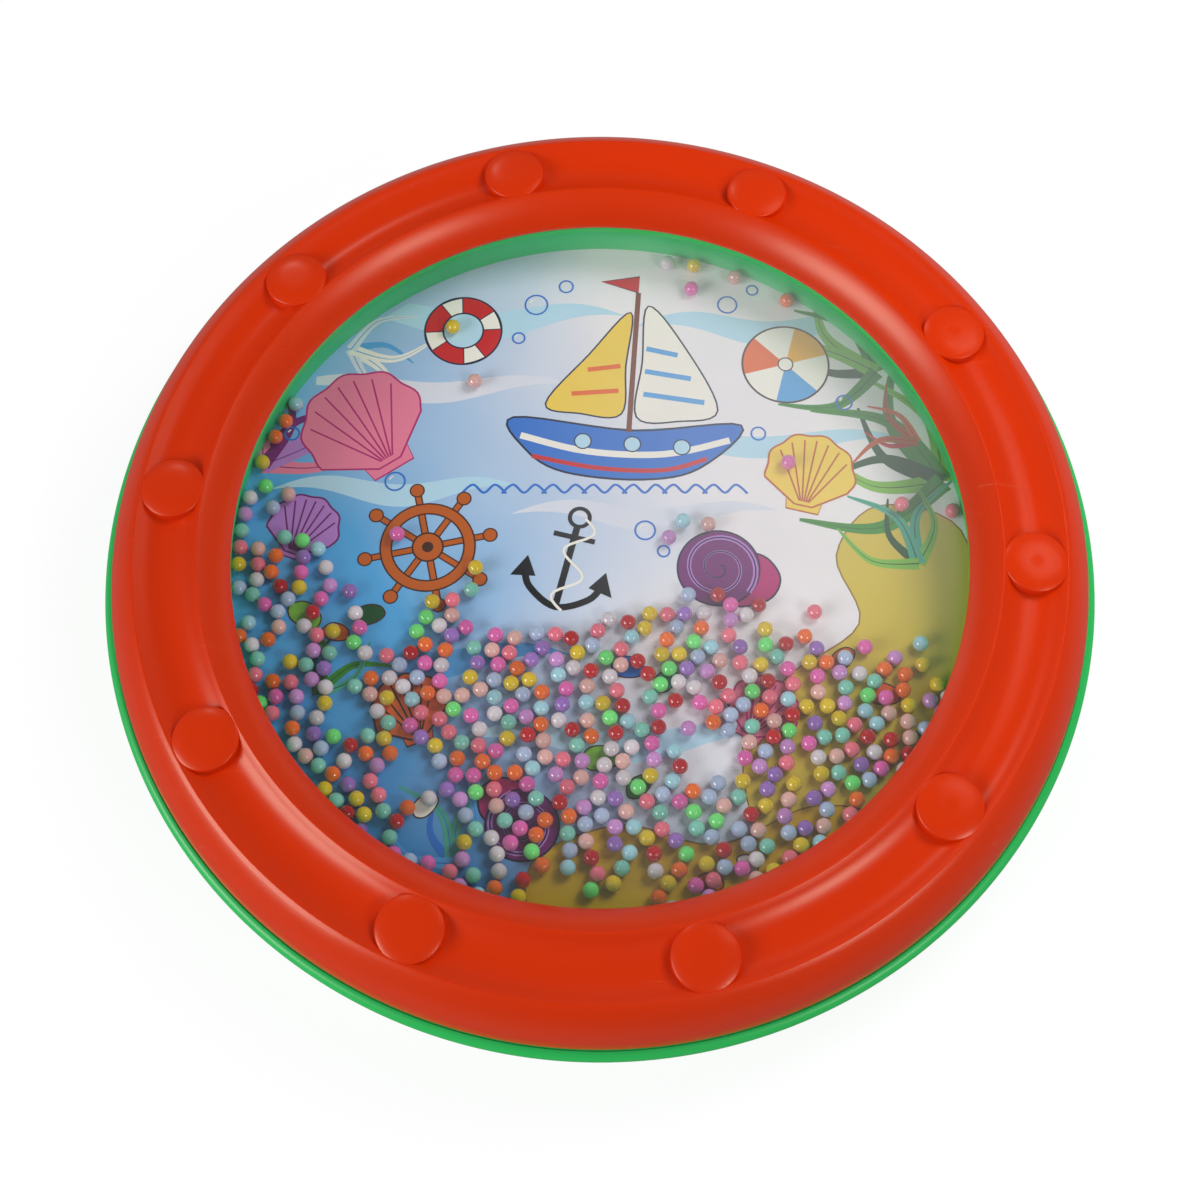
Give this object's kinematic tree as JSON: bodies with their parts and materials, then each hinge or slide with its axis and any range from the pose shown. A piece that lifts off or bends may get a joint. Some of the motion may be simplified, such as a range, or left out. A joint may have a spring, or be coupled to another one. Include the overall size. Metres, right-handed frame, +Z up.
{
  "type": "ocean drum",
  "caption": "Handheld round ocean drum: loose coloured beads roll and hiss between a printed head and a clear head inside a two-part moulded rim.",
  "frame": {"origin": "centre of the flat foot ring on which the drum lies, at table height", "axes": "+Z up, out of the clear head, along the axis of the drum; -Y towards the side where the beads have gathered; +X to the right seen from above with that side nearest"},
  "size_m": [0.21, 0.21, 0.0305],
  "materials": {
    "rim_orange": "waxy gloss moulded polypropylene",
    "shell_green": "gloss moulded polypropylene",
    "clear_film": "clear gloss polyester film with a slight white haze",
    "print_film": "printed gloss polyester film",
    "screw_steel": "zinc plated",
    "bead_red": "gloss",
    "bead_orange": "gloss",
    "bead_yellow": "gloss",
    "bead_green": "gloss",
    "bead_aqua": "gloss",
    "bead_sky": "gloss",
    "bead_periwinkle": "gloss",
    "bead_purple": "gloss",
    "bead_lilac": "gloss",
    "bead_magenta": "gloss",
    "bead_pink": "gloss",
    "bead_peach": "gloss",
    "bead_white": "gloss"
  },
  "bodies": {
    "drum": {"front_rim": "rim_orange", "back_shell": "shell_green", "chamber_hoop": "shell_green", "clear_head": "clear_film", "clear_head_ring": "shell_green", "print_head": "print_film", "print_head_ring": "shell_green", "rim_screws": "screw_steel"},
    "bead_bed": {"beads_red": "bead_red", "beads_orange": "bead_orange", "beads_yellow": "bead_yellow", "beads_aqua": "bead_aqua", "beads_sky": "bead_sky", "beads_purple": "bead_purple", "beads_lilac": "bead_lilac", "beads_magenta": "bead_magenta", "beads_peach": "bead_peach"},
    "leaping_beads": {"beads_green": "bead_green", "beads_pink": "bead_pink", "beads_periwinkle": "bead_periwinkle", "beads_white": "bead_white"},
    "loose_bead_white": {"loose_bead_white": "bead_white"},
    "loose_bead_peach": {"loose_bead_peach": "bead_peach"},
    "loose_bead_magenta": {"loose_bead_magenta": "bead_magenta"},
    "loose_bead_pink": {"loose_bead_pink": "bead_pink"},
    "loose_bead_sky": {"loose_bead_sky": "bead_sky"},
    "loose_bead_rose": {"loose_bead_rose": "bead_magenta"},
    "loose_bead_yellow": {"loose_bead_yellow": "bead_yellow"},
    "loose_bead_gold": {"loose_bead_gold": "bead_yellow"}
  },
  "joints": [
    {"name": "bead_swirl", "type": "hinge", "parent": "drum", "child": "bead_bed", "pos_m": [0, 0, 0.01012], "axis": [0, 0, 1], "continuous": true},
    {"name": "bead_leap", "type": "slide", "parent": "bead_bed", "child": "leaping_beads", "axis": [0, 0, 1], "range_m": [0, 0.008]},
    {"name": "white_bead_roll", "type": "slide", "parent": "bead_bed", "child": "loose_bead_white", "axis": [0, -1, 0], "range_m": [0, 0.06]},
    {"name": "peach_bead_roll", "type": "slide", "parent": "bead_bed", "child": "loose_bead_peach", "axis": [0, -1, 0], "range_m": [0, 0.04]},
    {"name": "magenta_bead_roll", "type": "slide", "parent": "bead_bed", "child": "loose_bead_magenta", "axis": [0, -1, 0], "range_m": [0, 0.034]},
    {"name": "pink_bead_roll", "type": "slide", "parent": "bead_bed", "child": "loose_bead_pink", "axis": [0, -1, 0], "range_m": [0, 0.026]},
    {"name": "sky_bead_roll", "type": "slide", "parent": "bead_bed", "child": "loose_bead_sky", "axis": [-1, 0, 0], "range_m": [0, 0.04]},
    {"name": "rose_bead_roll", "type": "slide", "parent": "bead_bed", "child": "loose_bead_rose", "axis": [0, 1, 0], "range_m": [0, 0.03]},
    {"name": "yellow_bead_roll", "type": "slide", "parent": "bead_bed", "child": "loose_bead_yellow", "axis": [1, 0, 0], "range_m": [0, 0.04]},
    {"name": "gold_bead_roll", "type": "slide", "parent": "bead_bed", "child": "loose_bead_gold", "axis": [0, -1, 0], "range_m": [0, 0.05]}
  ]
}
